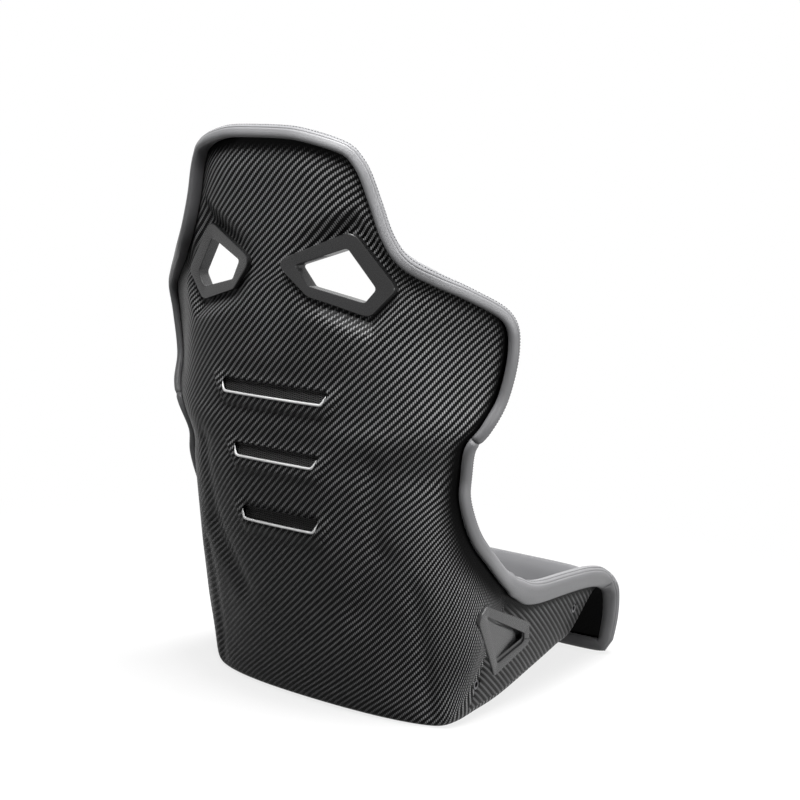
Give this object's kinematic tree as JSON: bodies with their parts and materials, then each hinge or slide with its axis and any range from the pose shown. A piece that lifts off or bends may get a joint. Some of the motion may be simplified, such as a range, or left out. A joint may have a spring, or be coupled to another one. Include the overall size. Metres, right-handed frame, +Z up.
{
  "type": "racing seat",
  "caption": "Moulded bucket racing seat with a padded leather edge, fitted cushions, harness belt openings, louvred vents and threaded side mounts.",
  "frame": {"origin": "on the floor under the middle of the seat's plan", "axes": "+Z up, the occupant faces -Y, the occupant's left is +X"},
  "size_m": [0.5798, 0.6899, 0.7962],
  "materials": {
    "carbon_laminate": "gloss clear lacquer over twill woven carbon",
    "edge_leather": "matt, fine grain",
    "pad_leather": "matt, fine grain",
    "hook_and_loop": "napped",
    "insert_steel": "black oxide",
    "vent_mesh": "fine woven mesh",
    "guide_plastic": "fine satin texture"
  },
  "bodies": {
    "root": {"carbon_shell": "carbon_laminate", "upper_edge_roll": "edge_leather", "lower_edge_roll_left": "edge_leather", "lower_edge_roll_right": "edge_leather", "front_edge_roll": "edge_leather", "head_cushion": "pad_leather", "back_cushion": "pad_leather", "lumbar_cushion": "pad_leather", "seat_cushion": "pad_leather", "leg_cushion": "pad_leather", "shoulder_bolster_left": "pad_leather", "shoulder_bolster_right": "pad_leather", "hip_bolster_left": "pad_leather", "hip_bolster_right": "pad_leather", "thigh_bolster_left": "pad_leather", "thigh_bolster_right": "pad_leather", "hook_and_loop_tape": "hook_and_loop", "shoulder_guide_rear_left": "guide_plastic", "shoulder_guide_rear_right": "guide_plastic", "shoulder_guide_front_left": "guide_plastic", "shoulder_guide_front_right": "guide_plastic", "lap_guide_outer_left": "guide_plastic", "lap_guide_outer_right": "guide_plastic", "lap_guide_inner_left": "guide_plastic", "lap_guide_inner_right": "guide_plastic", "crotch_guide_lower": "guide_plastic", "crotch_guide_upper": "guide_plastic", "vent_mesh_upper": "vent_mesh", "vent_mesh_middle": "vent_mesh", "vent_mesh_lower": "vent_mesh", "mount_inserts_left": "insert_steel", "mount_inserts_right": "insert_steel"}
  },
  "joints": []
}
